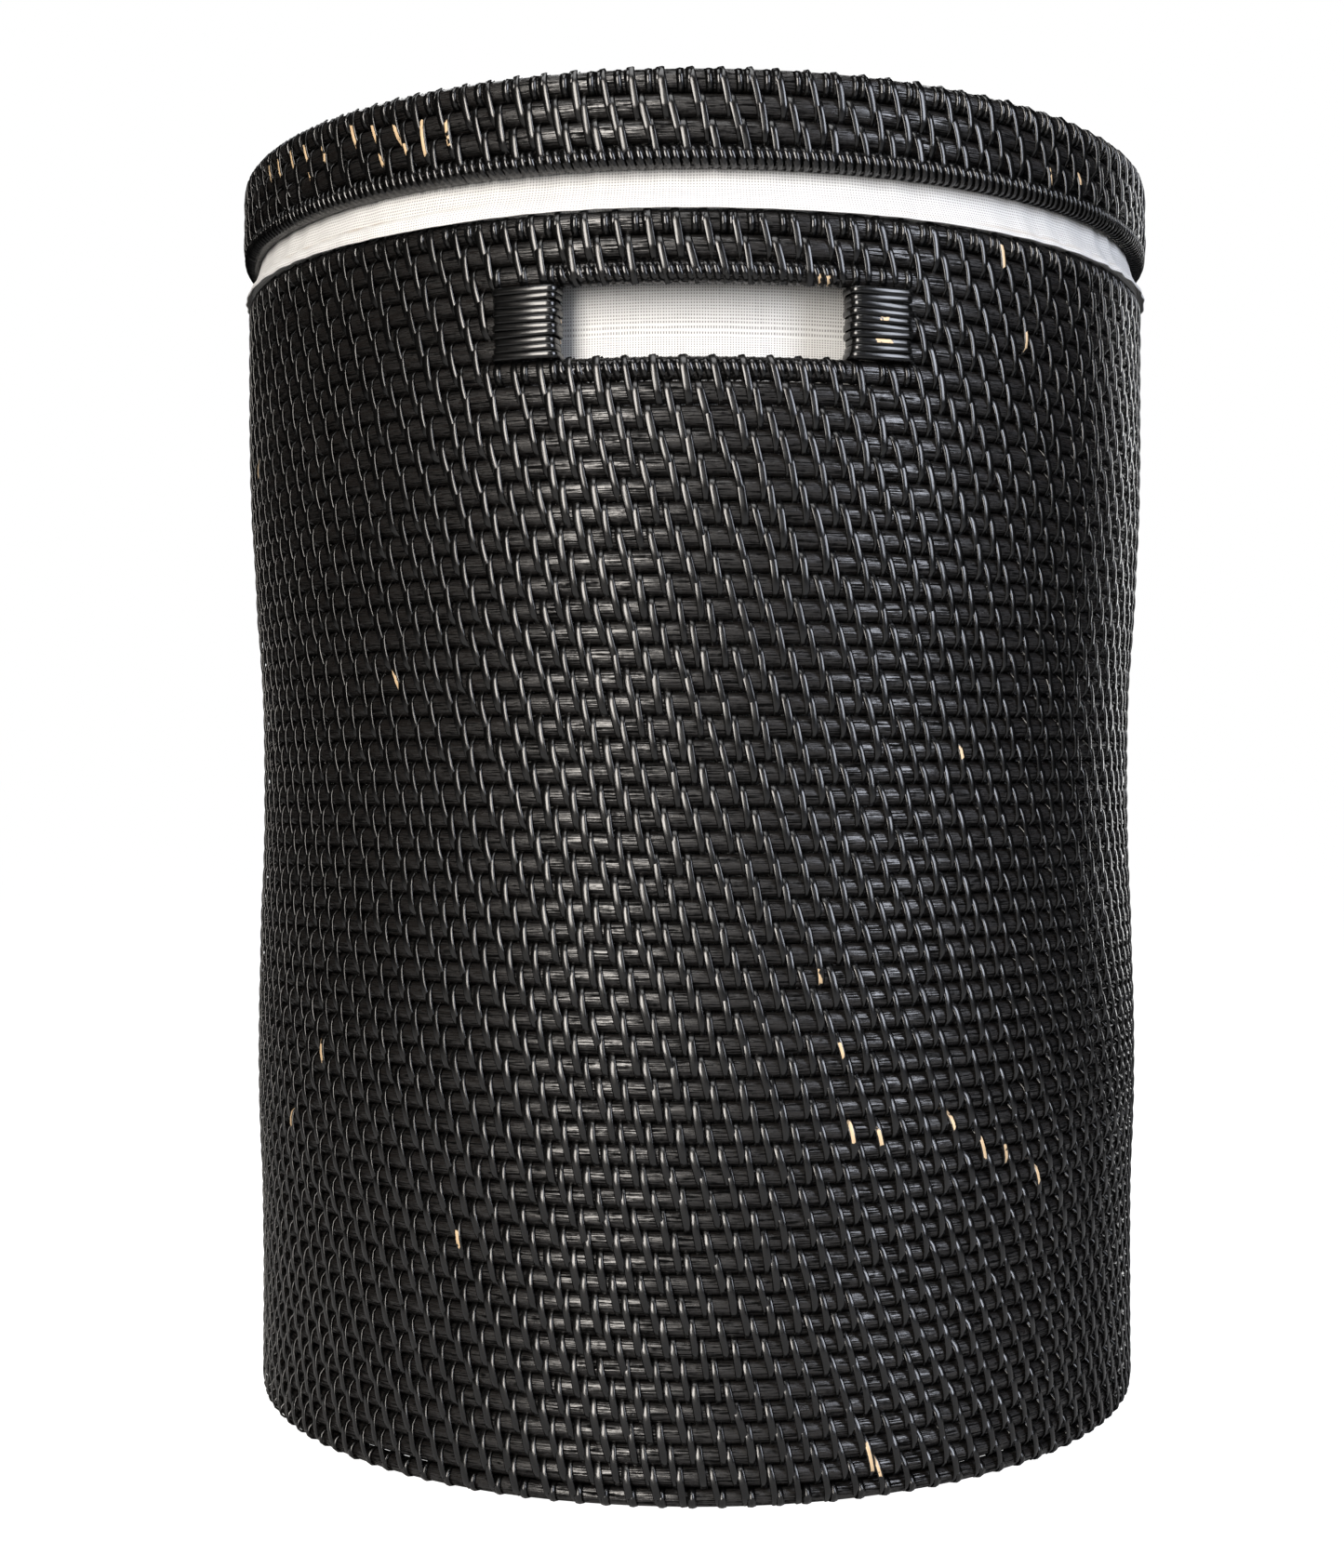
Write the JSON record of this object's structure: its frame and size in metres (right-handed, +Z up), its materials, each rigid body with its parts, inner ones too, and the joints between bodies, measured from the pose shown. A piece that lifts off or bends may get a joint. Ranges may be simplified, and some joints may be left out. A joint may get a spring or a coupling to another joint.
{
  "type": "woven laundry basket",
  "caption": "Tall round lidded laundry hamper of coiled rattan with hand openings front and back, a shallow cap lid and a removable cotton liner bag.",
  "frame": {"origin": "middle of the foot ring, on the floor", "axes": "+Z up through the middle of the lid; the front hand opening faces -Y and the back one +Y; +X to the right seen from the front"},
  "size_m": [0.4343, 0.4344, 0.5678],
  "materials": {
    "coiled_rattan": "black stained rattan, satin",
    "lid_rattan": "black stained rattan, satin, worn in spots",
    "wrapped_rattan": "black stained rattan strip, semi-gloss",
    "neck_rattan": "black stained split rattan, matte",
    "brads": "bright steel brad",
    "cotton_bag": "white cotton muslin, matte",
    "cotton_hem": "white cotton muslin, gathered",
    "elastic": "white braided elastic"
  },
  "bodies": {
    "basket": {"wall_lower_coils": "coiled_rattan", "wall_middle_coils": "coiled_rattan", "wall_upper_coils": "coiled_rattan", "side_coils_left": "coiled_rattan", "side_coils_right": "coiled_rattan", "wall_rim_coils": "coiled_rattan", "handle_post_front_left": "wrapped_rattan", "handle_post_front_right": "wrapped_rattan", "handle_post_back_left": "wrapped_rattan", "handle_post_back_right": "wrapped_rattan", "grip_whipping_front": "wrapped_rattan", "grip_whipping_back": "wrapped_rattan", "sill_whipping_front": "wrapped_rattan", "sill_whipping_back": "wrapped_rattan", "base_coil": "coiled_rattan", "neck_band": "neck_rattan", "neck_brads": "brads"},
    "liner": {"liner_bag": "cotton_bag", "liner_bottom": "cotton_bag", "liner_hem": "cotton_hem", "liner_elastic": "elastic"},
    "lid": {"lid_top_coil": "lid_rattan", "lid_rim_coils": "lid_rattan", "lid_edge_coil": "lid_rattan", "lid_edge_whipping": "wrapped_rattan"}
  },
  "joints": [
    {"name": "liner_lift", "type": "slide", "parent": "basket", "child": "liner", "axis": [0, 0, 1], "range_m": [0, 0.56]},
    {"name": "lid_lift", "type": "slide", "parent": "liner", "child": "lid", "axis": [0, 0, 1], "range_m": [0, 0.15]}
  ]
}
